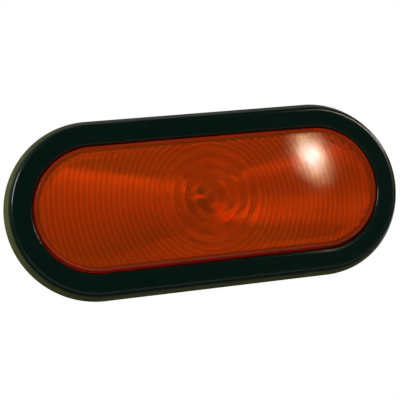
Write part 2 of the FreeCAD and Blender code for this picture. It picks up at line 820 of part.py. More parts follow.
def make_carrier():
    """Moulded plate over the cavity, staked to the tray floor at its two ears."""
    body = new_body("bulb_carrier")
    disc = front_sketch(body, "disc_outline", "tray_inside")
    draw_circle(disc, "0", "0", "carrier_radius")
    add_pad(body, disc, "carrier_plate")
    ears = front_sketch(body, "ear_outline", "tray_inside")
    draw_stadium(ears, "carrier_ear", "stake_place")
    add_pad(body, ears, "carrier_plate")
    holes = front_sketch(body, "carrier_holes", "carrier_top")
    draw_circle(holes, "0", "0", "carrier_hole")
    draw_circle(holes, "stake_place", "0", "stake_radius")
    draw_circle(holes, "-stake_place", "0", "stake_radius")
    add_pocket(body, holes, "2 * carrier_plate")
    return body


# The plug's three circuits, by the angle of each pin about the lamp's axis, from +X towards +Z.
PIN_ANGLES = {"ground": 90, "tail": 210, "stop": 330}


def make_pin(circuit, angle):
    """Turned brass pin with a round tip, headed over the strap on the inside."""
    body = new_body(f"terminal_pin_{circuit}")
    add_turned(body, f"{circuit}_pin", [
        ("pin_head_top", "0"),
        ("pin_head_top", "pin_head_radius"),
        ("strap_top", "pin_head_radius"),
        ("strap_top", "pin_shank_radius"),
        ("well_bottom", "pin_shank_radius"),
        ("well_bottom", "pin_radius"),
        ("pin_tip", "pin_radius", "pin_radius * 0.6"),
        ("pin_tip", "0"),
    ])
    body.setExpression("Placement.Base.x", bound(f"pin_circle * cos({angle} deg)"))
    body.setExpression("Placement.Base.z", bound(f"pin_circle * sin({angle} deg)"))
    return body


def make_strap(circuit, angle):
    """Brass angle: a foot under the pin's head and a leg up to the bulb's lead."""
    body = new_body(f"contact_strap_{circuit}")
    foot = front_sketch(body, f"{circuit}_foot", "cavity_bottom")
    draw_outline(foot, [
        ("strap_reach", "-strap_width / 2"),
        ("pin_circle", "-strap_width / 2"),
        ("pin_circle", "strap_width / 2"),
        ("strap_reach", "strap_width / 2"),
    ])
    add_pad(body, foot, "strap_thickness")
    eye = front_sketch(body, f"{circuit}_eye", "cavity_bottom")
    draw_circle(eye, "pin_circle", "0", "pin_head_radius")
    add_pad(body, eye, "strap_thickness")
    leg = front_sketch(body, f"{circuit}_leg", "cavity_bottom")
    draw_outline(leg, [
        ("strap_reach", "-strap_width / 2"),
        ("strap_reach + strap_thickness", "-strap_width / 2"),
        ("strap_reach + strap_thickness", "strap_width / 2"),
        ("strap_reach", "strap_width / 2"),
    ])
    add_pad(body, leg, "cavity_bottom - strap_end")
    hole = front_sketch(body, f"{circuit}_hole", "strap_top - strap_thickness")
    draw_circle(hole, "pin_circle", "0", "pin_shank_radius")
    add_pocket(body, hole, "3 * strap_thickness")
    body.Placement.Rotation = FreeCAD.Rotation(FreeCAD.Vector(0, 1, 0), -angle)
    return body


def make_leads():
    """Three short leads from the foot of the bulb, each along the inner face of its strap."""
    wires = []
    for circuit, angle in PIN_ANGLES.items():
        out = "(strap_reach - lead_radius)"
        wires.append(along_y(f"lead_{circuit}", "lead_radius", "neck_end",
                             "strap_end + lead_lap",
                             f"{out} * cos({angle} deg)", f"{out} * sin({angle} deg)"))
    return grouped("bulb_leads", wires)


def make_potting(metal):
    """Epoxy over the feet of the straps and the heads of the pins, which seals the pin holes."""
    blank = along_y("potting_blank", "cavity_radius", "potting_top", "cavity_bottom")
    return cut("terminal_potting", blank, fused("potted_metal", metal))


def check_document():
    """Stop if any object of the document failed to recompute."""
    doc.recompute()
    for item in doc.Objects:
        if "Invalid" in item.State or "Error" in item.State:
            raise RuntimeError(f"{item.Name} failed: {item.State}")


def write_parts(parts):
    """Write each sub-part that is one or more sound solids under its own name."""
    os.makedirs("parts", exist_ok=True)
    for item in parts:
        shape = item.Shape
        if shape.isNull() or not shape.isValid() or not shape.Solids:
            raise RuntimeError(f"{item.Label} has no sound solid")
        shape.exportStep(f"parts/{item.Label}.step")
        print(f"{item.Label}: {len(shape.Solids)} solid(s), {shape.Volume:.1f} mm3")


fill_sheets()
pins = [make_pin(circuit, angle) for circuit, angle in PIN_ANGLES.items()]
straps = [make_strap(circuit, angle) for circuit, angle in PIN_ANGLES.items()]
nodes = [
    make_grommet(),
    make_lens(),
    make_sealant(),
    make_housing(),
    make_socket(),
    make_reflector(),
    make_bulb_glass(),
    make_stem(),
    make_supports(),
    make_filament("stop"),
    make_filament("tail"),
    make_shock_mount(),
    make_carrier(),
    make_leads(),
    make_potting(pins + straps),
] + pins + straps
check_document()
write_parts(nodes)
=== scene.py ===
# %% [markdown]
# # An oval trailer tail light, dressed in Blender
# The lamp sits in a rubber ring in the trailer's rear panel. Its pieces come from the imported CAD
# model, which is the frame: places are in that frame, in metres, with the lens facing -Y. The
# lens, the ring and the filaments are rebuilt here with finer meshes, and every piece gets a
# finish made of shader nodes.

# %% Load the frame
import math

import bmesh
import bpy
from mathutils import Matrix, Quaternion, Vector


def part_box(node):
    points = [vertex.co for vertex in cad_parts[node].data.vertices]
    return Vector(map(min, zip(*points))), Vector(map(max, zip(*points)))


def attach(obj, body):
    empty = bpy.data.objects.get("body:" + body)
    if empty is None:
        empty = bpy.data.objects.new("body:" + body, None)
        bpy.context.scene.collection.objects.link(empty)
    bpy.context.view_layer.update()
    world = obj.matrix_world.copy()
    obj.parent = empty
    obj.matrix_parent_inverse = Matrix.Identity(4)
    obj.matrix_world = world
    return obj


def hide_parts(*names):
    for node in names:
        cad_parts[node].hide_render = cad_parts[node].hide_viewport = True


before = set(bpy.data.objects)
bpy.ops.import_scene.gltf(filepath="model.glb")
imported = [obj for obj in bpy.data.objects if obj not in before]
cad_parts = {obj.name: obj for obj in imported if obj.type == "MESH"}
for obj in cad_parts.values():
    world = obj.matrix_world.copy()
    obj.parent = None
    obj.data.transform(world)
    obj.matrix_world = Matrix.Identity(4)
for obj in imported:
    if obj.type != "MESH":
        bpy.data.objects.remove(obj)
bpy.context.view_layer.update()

MM = 0.001

# %% [markdown]
# ## The camera
# The lamp is looked at from its left and from a little below, and the camera is rolled, so that
# the lamp's right end stands higher. An aim point, two angles, a roll and a distance say that
# plainly. A look-at constraint could aim the camera too, but it leaves no room for the roll.

# %% Camera
AIM = Vector((-3.68, 0.0, 0.33)) * MM
TURN_LEFT = math.radians(15.345)
DROP = math.radians(6.722)
ROLL = math.radians(-7.485)
STAND_OFF = 0.5512
FOCAL_LENGTH = 105.0

camera = bpy.data.objects.new("camera", bpy.data.cameras.new("camera"))
bpy.context.scene.collection.objects.link(camera)
camera.data.lens = FOCAL_LENGTH
camera.data.clip_start = 0.01
away = Vector((-math.sin(TURN_LEFT) * math.cos(DROP),
               -math.cos(TURN_LEFT) * math.cos(DROP),
               -math.sin(DROP)))
camera.location = AIM + away * STAND_OFF
camera.rotation_mode = "QUATERNION"
camera.rotation_quaternion = (-away).to_track_quat("-Z", "Y") @ Quaternion((0, 0, 1), ROLL)
bpy.context.scene.camera = camera
print("camera stands at", [round(v, 3) for v in camera.location])


# %% [markdown]
# ## Node helpers
# Every finish is a small graph of shader nodes. A few helpers keep those graphs short: one adds
# a node and wires its inputs, one starts a finish with its Principled shader, and the others are
# the steps that most finishes share. The noise reads the object's own coordinates, which stay on
# the piece when it moves, so a scuff or a grain never slides.

# %% Adding nodes and starting a finish
def add_node(tree, kind, inputs=None, **settings):
    """A new node in the tree. An input given as a socket is linked, and else its value is set."""
    node = tree.nodes.new(kind)
    for key, value in settings.items():
        setattr(node, key, value)
    for key, value in (inputs or {}).items():
        if isinstance(value, bpy.types.NodeSocket):
            tree.links.new(value, node.inputs[key])
        else:
            node.inputs[key].default_value = value
    return node


def start_finish(name, **sockets):
    """A finish with plain values set on its Principled shader. Gives material, tree, shader."""
    material = bpy.data.materials.new(name)
    material.use_nodes = True
    shader = material.node_tree.nodes["Principled BSDF"]
    for key, value in sockets.items():
        shader.inputs[key.replace("_", " ")].default_value = value
    print("finish", name)
    return material, material.node_tree, shader


# %% Steps that most finishes share
def grain(tree, size, detail=4.0, stretch=(1, 1, 1), roughness=0.55):
    """Noise with lumps about size metres across, longer along an axis whose stretch is small."""
    place = add_node(tree, "ShaderNodeTexCoord").outputs["Object"]
    place = add_node(tree, "ShaderNodeMapping", {"Vector": place, "Scale": stretch}).outputs[0]
    return add_node(tree, "ShaderNodeTexNoise", {
        "Vector": place, "Scale": 1 / size, "Detail": detail, "Roughness": roughness,
    }).outputs[0]


def spread(tree, value, low, high, start=0.3, stop=0.7):
    """Maps start to low and stop to high. Most noise lies between 0.3 and 0.7."""
    return add_node(tree, "ShaderNodeMapRange", {
        "Value": value, "From Min": start, "From Max": stop, "To Min": low, "To Max": high,
    }).outputs[0]


def multiply(tree, first, second):
    """The product of two values."""
    factors = {0: first, 1: second}
    return add_node(tree, "ShaderNodeMath", factors, operation="MULTIPLY").outputs[0]


def blend_colours(tree, share, first, second):
    """The first colour where share is 0, the second where it is 1."""
    first, second = (c if isinstance(c, bpy.types.NodeSocket) else (*c, 1.0)
                     for c in (first, second))
    # A mix node's sockets 6 and 7 are its two colours, and output 2 is the blend
    mix = add_node(tree, "ShaderNodeMix", {0: share, 6: first, 7: second}, data_type="RGBA")
    return mix.outputs[2]


def emboss(tree, shader, height, depth):
    """Lets a height map tilt the shading, as if it stood depth metres high."""
    bump = add_node(tree, "ShaderNodeBump", {"Height": height, "Strength": 1.0, "Distance": depth})
    tree.links.new(bump.outputs[0], shader.inputs["Normal"])


def show_mix(tree, share, first, second):
    """Puts two shaders on the surface: the first where share is 0, the second where it is 1."""
    mixed = add_node(tree, "ShaderNodeMixShader", {
        0: share, 1: first.outputs[0], 2: second.outputs[0]})
    tree.links.new(mixed.outputs[0], tree.nodes["Material Output"].inputs["Surface"])


# %% [markdown]
# ## The room
# A studio for glossy things is mostly empty space. The world's shader asks what kind of ray it
# meets. The camera sees white, and dull surfaces get an even fill. Gloss and glass see a dim room
# on the camera's side and a bright backdrop behind the lamp, with a soft change between the two.
# A picture of a real studio could do this as well, but a few nodes are easier to steer.

# %% World
FILL = 0.35
ROOM_BEHIND_CAMERA = 0.012
BACKDROP = 0.6
ROOM_ENDS, BACKDROP_STARTS = -0.3, 0.4

scene = bpy.context.scene
scene.view_settings.view_transform = "Standard"
world = bpy.data.worlds.new("studio")
world.use_nodes = True
scene.world = world
tree = world.node_tree
ray = add_node(tree, "ShaderNodeLightPath").outputs
heading = add_node(tree, "ShaderNodeTexCoord").outputs["Generated"]
heading = add_node(tree, "ShaderNodeSeparateXYZ", {"Vector": heading}).outputs["Y"]
seen_in_gloss = add_node(tree, "ShaderNodeMapRange", {
    "Value": heading, "From Min": ROOM_ENDS, "From Max": BACKDROP_STARTS,
    "To Min": ROOM_BEHIND_CAMERA, "To Max": BACKDROP,
}, interpolation_type="SMOOTHSTEP").outputs[0]
glossy = add_node(tree, "ShaderNodeMath", {
    0: ray["Is Glossy Ray"], 1: ray["Is Transmission Ray"]}, operation="MAXIMUM").outputs[0]
level = add_node(tree, "ShaderNodeMix", {
    "Factor": glossy, "A": FILL, "B": seen_in_gloss}).outputs[0]
level = add_node(tree, "ShaderNodeMix", {
    "Factor": ray["Is Camera Ray"], "A": level, "B": 1.0}).outputs[0]
tree.links.new(level, tree.nodes["Background"].inputs["Strength"])
tree.nodes["Background"].inputs["Color"].default_value = (1, 1, 1, 1)
print("world fills at", FILL, "with a backdrop of", BACKDROP)

# %% [markdown]
# ## The floor
# The floor lies well below the lamp, since the lamp hangs in a panel. It keeps the lamp's shadow
# and fades into the white further out, so that no horizon shows. Only the camera sees it pale:
# to other rays it is a mid grey, or it would throw too much light up at the lamp.

# %% Floor
FLOOR_DROP = 0.3
FLOOR_REACH = 6.0
FLOOR_PALE, FLOOR_GREY = (0.92, 0.92, 0.92), (0.3, 0.3, 0.3)
FADE_STARTS, FADE_ENDS = 0.45, 1.2

pale_floor, tree, shader = start_finish("pale_floor", Roughness=0.9, Specular_IOR_Level=0.0)
seen_by_camera = add_node(tree, "ShaderNodeLightPath").outputs["Is Camera Ray"]
tree.links.new(blend_colours(tree, seen_by_camera, FLOOR_GREY, FLOOR_PALE),
               shader.inputs["Base Color"])
place = add_node(tree, "ShaderNodeTexCoord").outputs["Object"]
distance = add_node(tree, "ShaderNodeVectorMath", {0: place}, operation="LENGTH").outputs["Value"]
far = spread(tree, distance, 0.0, 1.0, start=FADE_STARTS, stop=FADE_ENDS)
white = add_node(tree, "ShaderNodeEmission", {"Color": (1, 1, 1, 1), "Strength": 1.0})
show_mix(tree, multiply(tree, far, seen_by_camera), shader, white)

sheet = bmesh.new()
sheet.faces.new([sheet.verts.new((x * FLOOR_REACH, y * FLOOR_REACH, 0))
                 for x, y in ((-1, -1), (1, -1), (1, 1), (-1, 1))])
floor = bpy.data.objects.new("floor", bpy.data.meshes.new("floor"))
sheet.to_mesh(floor.data)
sheet.free()
floor.location.z = -FLOOR_DROP
floor.data.materials.append(pale_floor)
scene.collection.objects.link(floor)
print("floor lies", FLOOR_DROP, "m below the lamp's axis")


# %% [markdown]
# ## The lamps
# Area lamps stand in for soft boxes. A wide one lights gently, and a small one makes a crisp
# glint in whatever is glossy. Each has one task, which is set by the rays that may meet it. The
# inner boxes light the reflector through the lens and are mirrored nowhere. The outer boxes light
# the whole lamp. The rubber boxes only glint on the ring's roundings, and light linking ties them
# to the ring once it is made. Only the inner boxes can be met through clear pieces, where the
# image of any other would be a bright patch.

# %% Soft boxes
def hang_soft_box(name, place, width, height, glow, aim=(0, 0, 0), turn=0.0):
    """An area lamp at place, facing aim and rolled by turn, whose face is as bright as glow."""
    lamp = bpy.data.lights.new(name, "AREA")
    lamp.shape = "RECTANGLE"
    lamp.size, lamp.size_y = width, height
    lamp.energy = glow * math.pi * width * height
    box = bpy.data.objects.new(name, lamp)
    box.location = place
    box.rotation_mode = "QUATERNION"
    facing = (Vector(aim) - Vector(place)).to_track_quat("-Z", "Y")
    box.rotation_quaternion = facing @ Quaternion((0, 0, 1), turn)
    box.visible_camera = False
    scene.collection.objects.link(box)
    return box


# Each box's name, place, width, height and glow
INNER_BOXES = (
    ("left_window", (-0.71, -0.72, 0.43), 0.8, 0.8, 0.8),
    ("left_fill", (-0.95, -0.55, 0.1), 0.7, 0.9, 0.4),
    ("middle_high", (-0.08, -0.94, 0.34), 0.25, 0.25, 2.4),
    ("middle_low", (0.11, -0.94, -0.34), 0.25, 0.25, 7.0),
    ("right_low", (0.6, -0.72, -0.33), 0.8, 0.3, 3.8),
    ("right_strip", (0.78, -0.62, 0.04), 0.7, 0.06, 3.0),
)
OUTER_BOXES = (
    ("key_light", (-0.71, -0.72, 0.43), 0.3, 0.3, 20.0),
    ("flank_light", (-0.85, 0.15, 0.6), 0.4, 0.4, 5.0),
    ("back_light", (0.7, 1.1, 0.12), 0.8, 0.8, 2.5),
)
RUBBER_BOXES = (
    ("edge_light", (-0.62, -0.63, 0.375), 0.3, 0.3, 10.0),
    ("lip_light", (0.70, -0.54, 0.30), 0.14, 0.14, 25.0),
)
inner_boxes = [hang_soft_box(*box) for box in INNER_BOXES]
outer_boxes = [hang_soft_box(*box) for box in OUTER_BOXES]
rubber_boxes = [hang_soft_box(*box) for box in RUBBER_BOXES]
for box in inner_boxes:
    box.visible_glossy = False
for box in rubber_boxes:
    box.visible_diffuse = False
print("hung", len(inner_boxes), "inner,", len(outer_boxes), "outer and", len(rubber_boxes),
      "rubber boxes")


# %% [markdown]
# ## The glint in the lens
# One small lamp stands where the lens's face mirrors it to the camera. An even face would be
# mirrored as a hard rectangle. A real lamp behind a diffuser is whitest in its middle and goes
# amber and dim towards its edge, so nodes in the lamp's own tree fade it and streak it a little.

# %% Small lamp
FADE_POWER = 2.2
STREAKS = (14, 3, 1)
MIDDLE_WHITE, EDGE_AMBER = (1.0, 0.97, 0.92), (1.0, 0.68, 0.34)


def fade_to_edge(lamp):
    """Makes an area lamp's face bright and white in its middle, and amber and dim at its edge."""
    lamp.use_nodes = True
    tree = lamp.node_tree
    spot = add_node(tree, "ShaderNodeNewGeometry").outputs["Parametric"]
    from_middle = add_node(tree, "ShaderNodeVectorMath", {0: spot, 1: (0.5, 0.5, 0.0)},
                           operation="SUBTRACT").outputs[0]
    distance = add_node(tree, "ShaderNodeVectorMath", {0: from_middle}, operation="LENGTH")
    fade = spread(tree, distance.outputs["Value"], 1.0, 0.0, start=0.0, stop=0.5)
    fade = add_node(tree, "ShaderNodeMath", {0: fade, 1: FADE_POWER}, operation="POWER").outputs[0]
    streaks = add_node(tree, "ShaderNodeMapping", {"Vector": spot, "Scale": STREAKS})
    streaks = add_node(tree, "ShaderNodeTexNoise", {"Vector": streaks.outputs[0], "Scale": 1.0})
    streaks = spread(tree, streaks.outputs[0], 0.3, 1.4)
    emission = tree.nodes["Emission"].inputs
    tree.links.new(multiply(tree, fade, streaks), emission["Strength"])
    whiteness = spread(tree, fade, 0.0, 1.0, start=0.15, stop=0.75)
    tree.links.new(blend_colours(tree, whiteness, EDGE_AMBER, MIDDLE_WHITE), emission["Color"])


small_lamp = hang_soft_box("small_lamp", (0.462, -0.928, 0.173), width=0.09, height=0.15,
                           glow=50.0, aim=(0.052, -0.010, 0.018), turn=0.35)
fade_to_edge(small_lamp.data)
for box in (*outer_boxes, *rubber_boxes, small_lamp):
    box.visible_transmission = False
print("small lamp stands at", [round(v, 3) for v in small_lamp.location])


# %% [markdown]
# ## Walking round the oval
# Every outline of this lamp is a stadium: two straight sides and two half circles. Blender has
# no such primitive, so the path is walked in code. A station is a point on the lamp's spine with
# the direction that leads outwards there. A section drawn once, as depth and radius, is then
# carried round all stations, which gives even faces and no seams.

# %% Stations, in millimetres
HALF_SPINE = 54.2
STEP_ALONG = 0.75
STEP_ROUND = math.radians(1.0)


def walk_oval():
    """Stations round the stadium, clockwise from the top left: spine x, outward x, outward z."""
    steps = round(2 * HALF_SPINE / STEP_ALONG)
    turns = round(math.pi / STEP_ROUND)
    top = [(-HALF_SPINE + 2 * HALF_SPINE * i / steps, 0.0, 1.0) for i in range(steps)]
    right = [(HALF_SPINE, math.sin(math.pi * i / turns), math.cos(math.pi * i / turns))
             for i in range(turns)]
    return top + right + [(-x, -a, -b) for x, a, b in top + right]


def at_station(station, depth, radius):
    """The place of a section's point at a station, in metres."""
    spine, across, up = station
    return Vector((spine + across * radius, depth, up * radius)) * MM


def from_axis(place):
    """How far a place lies from the bulb's axis, in millimetres."""
    return math.hypot(place.x, place.z) / MM


stations = walk_oval()
print("the oval has", len(stations), "stations")


# %% Sections and pieces
def round_corners(corners, steps=6):
    """The section's points, with an arc at each corner that names a radius."""
    points = []
    for i, corner in enumerate(corners):
        here = Vector(corner[:2])
        if len(corner) < 3:
            points.append(here)
            continue
        back = (Vector(corners[i - 1][:2]) - here).normalized()
        ahead = (Vector(corners[(i + 1) % len(corners)][:2]) - here).normalized()
        half = back.angle(ahead) / 2
        centre = here + (back + ahead).normalized() * corner[2] / math.sin(half)
        first = here + back * corner[2] / math.tan(half) - centre
        last = here + ahead * corner[2] / math.tan(half) - centre
        opening = first.angle(last)
        for step in range(steps + 1):
            share = step / steps
            points.append(centre + (first * math.sin((1 - share) * opening)
                                    + last * math.sin(share * opening)) / math.sin(opening))
    return points


def join_rings(mesh, rings, closed):
    """Faces from each ring of vertices to the next, right round. A closed ring is a loop."""
    for here, there in zip(rings, rings[1:] + rings[:1]):
        for i in range(len(here) if closed else len(here) - 1):
            j = (i + 1) % len(here)
            mesh.faces.new((here[i], here[j], there[j], there[i]))


def make_piece(name, mesh, finish, body, replaced, crease=35):
    """Turns a bmesh into a piece that rides on a body and stands for a CAD node."""
    bmesh.ops.recalc_face_normals(mesh, faces=mesh.faces)
    piece = bpy.data.objects.new(name, bpy.data.meshes.new(name))
    mesh.to_mesh(piece.data)
    mesh.free()
    piece.data.polygons.foreach_set("use_smooth", [True] * len(piece.data.polygons))
    piece.data.set_sharp_from_angle(angle=math.radians(crease))
    piece.data.materials.append(finish)
    scene.collection.objects.link(piece)
    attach(piece, body)
    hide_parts(replaced)
    print(name, "has", len(piece.data.polygons), "faces")
    return piece


# %% [markdown]
# ## Rubber
# The ring is moulded from near-black rubber with a green cast. Its front has a dull skin, its
# shoulder and lip come shiny from the mould, and its flank keeps a dusty olive bloom that also
# carries a painted sheen, laid on most at the left end and along the bottom so that those sides
# look lit. Where the shine and the bloom with its sheen lie is written into the mesh as two
# attributes, so both stay put whatever the shape of the section. A clear coat gives the shine,
# and a fine grain in the bump keeps the highlights soft.

# %% Rubber finish
SKIN_DARK, SKIN_LIGHT = (0.0004, 0.0052, 0.0028), (0.0008, 0.0066, 0.0040)
# The flank's olive: a dusty bloom that also carries a painted sheen
BLOOM_AND_SHEEN_OLIVE = (0.085, 0.095, 0.028)
BLOOM_ROUGHNESS = 0.85

rubber, tree, shader = start_finish("grommet_rubber", Specular_IOR_Level=0.08, Coat_Roughness=0.12,
                                    Specular_Tint=(0.5, 1.0, 0.8, 1))
# The bloom mask also holds the painted sheen, which is strongest on the left end and the bottom
bloom_and_sheen = add_node(tree, "ShaderNodeAttribute", attribute_name="bloom_and_sheen").outputs["Fac"]
dust = spread(tree, grain(tree, 6 * MM, stretch=(1, 3, 1)), 0.55, 1.0)
bloom_and_sheen = multiply(tree, bloom_and_sheen, dust)
skin = blend_colours(tree, spread(tree, grain(tree, 9 * MM), 0.0, 1.0), SKIN_DARK, SKIN_LIGHT)
tree.links.new(blend_colours(tree, bloom_and_sheen, skin, BLOOM_AND_SHEEN_OLIVE), shader.inputs["Base Color"])
polish = add_node(tree, "ShaderNodeAttribute", attribute_name="polish").outputs["Fac"]
tree.links.new(polish, shader.inputs["Coat Weight"])
roughness = spread(tree, grain(tree, 3 * MM), 0.45, 0.55)
roughness = add_node(tree, "ShaderNodeMix", {
    "Factor": bloom_and_sheen, "A": roughness, "B": BLOOM_ROUGHNESS}).outputs[0]
tree.links.new(roughness, shader.inputs["Roughness"])
emboss(tree, shader, grain(tree, 0.35 * MM, detail=2.0), 0.006 * MM)

# %% Soft rubber finish, for the bulb's sleeve
soft_rubber, tree, shader = start_finish("soft_rubber", Specular_IOR_Level=0.35)
tree.links.new(blend_colours(tree, grain(tree, 2 * MM), (0.36, 0.35, 0.33), (0.30, 0.29, 0.27)),
               shader.inputs["Base Color"])
tree.links.new(spread(tree, grain(tree, 1 * MM), 0.6, 0.8), shader.inputs["Roughness"])
emboss(tree, shader, grain(tree, 0.3 * MM), 0.02 * MM)


# %% [markdown]
# ## Clear pieces
# The lens is moulded from tinted acrylic, the bulb is blown glass. Principled's transmission
# does both. Cycles would leave what lies behind them dark and noisy, because it can't aim at a
# lamp through a surface that bends light, so a Light Path node swaps in a tinted Transparent
# shader for the rays that look for lamps. The camera never sees that shader.

# %% Light through clear pieces
def let_lamps_through(tree, shader, tint):
    """Rays on their way to a lamp pass straight through, coloured by tint."""
    seeks_lamp = add_node(tree, "ShaderNodeLightPath").outputs["Is Shadow Ray"]
    open_way = add_node(tree, "ShaderNodeBsdfTransparent", {"Color": (*tint, 1.0)})
    show_mix(tree, seeks_lamp, shader, open_way)


# %% [markdown]
# ## The lens's red
# Tinted plastic is darker where it is thicker. An absorbing volume would do that by itself, but
# it renders slowly. The mesh holds two attributes instead: thick rises from 0 in a ring's valley
# towards 1 on its crest, and wall is 1 round the lens's edge, where light comes through the side
# wall and glows a deeper red.

# %% Lens finish
LENS_TINT, WALL_TINT = (0.84, 0.185, 0.009), (0.90, 0.085, 0.006)
CREST_TINT = tuple(0.6 * level for level in LENS_TINT)

lens_red, tree, shader = start_finish("lens_red", IOR=1.49)
thick = add_node(tree, "ShaderNodeAttribute", attribute_name="thick").outputs["Fac"]
wall = add_node(tree, "ShaderNodeAttribute", attribute_name="wall").outputs["Fac"]
tint = blend_colours(tree, thick, LENS_TINT, CREST_TINT)
tree.links.new(blend_colours(tree, wall, tint, WALL_TINT), shader.inputs["Base Color"])
tree.links.new(spread(tree, wall, 0.9, 0.82, start=0.0, stop=1.0),
               shader.inputs["Transmission Weight"])
tree.links.new(spread(tree, grain(tree, 5 * MM, stretch=(1, 1, 4)), 0.03, 0.07),
               shader.inputs["Roughness"])
emboss(tree, shader, grain(tree, 7 * MM, detail=1.0), 0.01 * MM)
let_lamps_through(tree, shader, LENS_TINT)

# %% Bulb glass finish
bulb_glass, tree, shader = start_finish("bulb_glass", Transmission_Weight=1.0, IOR=1.51,
                                        Base_Color=(0.97, 0.98, 0.97, 1))
tree.links.new(spread(tree, grain(tree, 3 * MM), 0.14, 0.2), shader.inputs["Roughness"])
emboss(tree, shader, grain(tree, 4 * MM, detail=1.0), 0.02 * MM)
let_lamps_through(tree, shader, (0.95, 0.95, 0.95))


# %% [markdown]
# ## Metals
# The reflector is black plastic under a thin skin of aluminium, bright but a little soft, since
# the plastic under it ripples. Brass terminals are turned and stamped: they keep fine marks
# along their length and a dull oxide that grows in patches. Wires are drawn, so they are streaked
# too. All are Metallic, with noise in the roughness so that no two highlights are alike.

# %% Metal finishes
def metal(name, bright, dull, smooth, rough, streak, ripple):
    """A metal whose colour goes from bright to dull in patches, streaked along Y."""
    material, tree, shader = start_finish(name, Metallic=1.0)
    patches = spread(tree, grain(tree, 2.5 * MM), 0.0, 1.0)
    tree.links.new(blend_colours(tree, patches, bright, dull), shader.inputs["Base Color"])
    lines = grain(tree, 0.8 * MM, stretch=(1, streak, 1))
    tree.links.new(spread(tree, lines, smooth, rough), shader.inputs["Roughness"])
    emboss(tree, shader, lines, ripple)
    return material


mirror_skin = metal("bright_reflector", bright=(0.95, 0.95, 0.95), dull=(0.9, 0.9, 0.9),
                    smooth=0.28, rough=0.36, streak=1.0, ripple=0.006 * MM)
brass = metal("brass", bright=(0.86, 0.64, 0.30), dull=(0.62, 0.43, 0.20),
              smooth=0.2, rough=0.42, streak=0.15, ripple=0.01 * MM)
wire = metal("support_wire", bright=(0.72, 0.71, 0.69), dull=(0.52, 0.51, 0.49),
             smooth=0.2, rough=0.35, streak=0.2, ripple=0.004 * MM)
tungsten = metal("tungsten", bright=(0.42, 0.42, 0.43), dull=(0.28, 0.28, 0.29),
                 smooth=0.3, rough=0.5, streak=1.0, ripple=0.002 * MM)


# %% [markdown]
# ## Moulded plastics and resin
# The housing and its socket are moulded in black plastic, with a fine spark-eroded texture from
# the mould and paler scuffs where it has been handled. The carrier inside is a pale natural
# plastic. The terminals are sealed with a black resin that was poured and has settled smooth, with
# a few soft swells in it.

# %% Plastic finishes
def plastic(name, colour, scuffed, smooth, rough, texture_size, texture_depth):
    """Moulded plastic with scuffed patches and an even texture."""
    material, tree, shader = start_finish(name)
    scuffs = spread(tree, grain(tree, 12 * MM, detail=8.0, roughness=0.7), 0.0, 1.0,
                    start=0.52, stop=0.72)
    tree.links.new(blend_colours(tree, scuffs, colour, scuffed), shader.inputs["Base Color"])
    tree.links.new(spread(tree, grain(tree, 4 * MM), smooth, rough), shader.inputs["Roughness"])
    emboss(tree, shader, grain(tree, texture_size, detail=2.0), texture_depth)
    return material


housing_black = plastic("housing_black", colour=(0.016, 0.016, 0.017),
                        scuffed=(0.042, 0.041, 0.040), smooth=0.38, rough=0.52,
                        texture_size=0.5 * MM, texture_depth=0.02 * MM)
carrier_plastic = plastic("carrier_plastic", colour=(0.40, 0.385, 0.35),
                          scuffed=(0.34, 0.32, 0.28), smooth=0.45, rough=0.6,
                          texture_size=0.6 * MM, texture_depth=0.015 * MM)
potting = plastic("potting", colour=(0.018, 0.018, 0.019),
                  scuffed=(0.03, 0.03, 0.031), smooth=0.12, rough=0.25,
                  texture_size=5.0 * MM, texture_depth=0.15 * MM)
sealant = plastic("sealant", colour=(0.05, 0.05, 0.05),
                  scuffed=(0.07, 0.07, 0.068), smooth=0.5, rough=0.7,
                  texture_size=1.5 * MM, texture_depth=0.05 * MM)

# %% [markdown]
# ## Dressing the CAD model's own pieces
# Most pieces keep the CAD model's mesh, because its shapes are already right for them: shells,
# pins and straps with crisp edges. Only their material changes. The three circuits, ground, tail
# and stop, have a pin and a strap each, so a loop names them.

# %% Finishes on the CAD model's own pieces
FINISHES = {
    "lens_sealant": sealant, "housing": housing_black, "plug_socket": housing_black,
    "reflector": mirror_skin, "bulb_glass": bulb_glass, "bulb_stem": bulb_glass,
    "filament_supports": wire, "bulb_leads": wire, "shock_mount": soft_rubber,
    "bulb_carrier": carrier_plastic, "terminal_potting": potting,
}
for circuit in ("ground", "tail", "stop"):
    FINISHES[f"terminal_pin_{circuit}"] = brass
    FINISHES[f"contact_strap_{circuit}"] = brass
for node, finish in FINISHES.items():
    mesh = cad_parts[node].data
    mesh.materials.clear()
    mesh.materials.append(finish)
print("finished", len(FINISHES), "pieces of the CAD model")


# %% [markdown]
# ## The lens
# The lens is one moulding: a shallow crown, a rounded edge, a flange that the rubber grips, and
# a tongue that sits in the housing's groove. The rings inside it are what a driver sees as
# stripes. They centre on the bulb, not on the oval, so the dish is built in two steps: a rim that
# walks round the oval, then columns from the bulb's axis out to each point of that rim. A Boolean
# with a turned cutter gives the same shape, but leaves long thin faces that spoil the refraction.

# %% Lens sizes, in millimetres
lens_low, lens_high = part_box("lens")
LENS_APEX = lens_low.y / MM
FLANGE_RADIUS = lens_high.z / MM
TONGUE_TIP = lens_high.y / MM
CROWN_RADIUS, CROWN_STEP = 2000.0, 6
WALL = 2.3
LENS_RADIUS = 28.7
EDGE_ROUND, EDGE_STEPS = 1.2, 8
HOLLOW_RADIUS = LENS_RADIUS - WALL
PARTING = TONGUE_TIP - 1.4
FLANGE_FRONT = PARTING - 1.5
TONGUE_INNER, TONGUE_OUTER = HOLLOW_RADIUS + 0.1, HOLLOW_RADIUS + 1.1
BULLSEYE_RINGS, BULLSEYE_PITCH, BULLSEYE_RELIEF = 4, 5.3, 0.65
BULLSEYE_RADIUS = (BULLSEYE_RINGS + 0.5) * BULLSEYE_PITCH
BAND_PITCH, BAND_RELIEF = 2.5, 0.2
FLUTE_SHAPE = 2.0
print("lens apex at", round(LENS_APEX, 2), "and flange radius", round(FLANGE_RADIUS, 2))


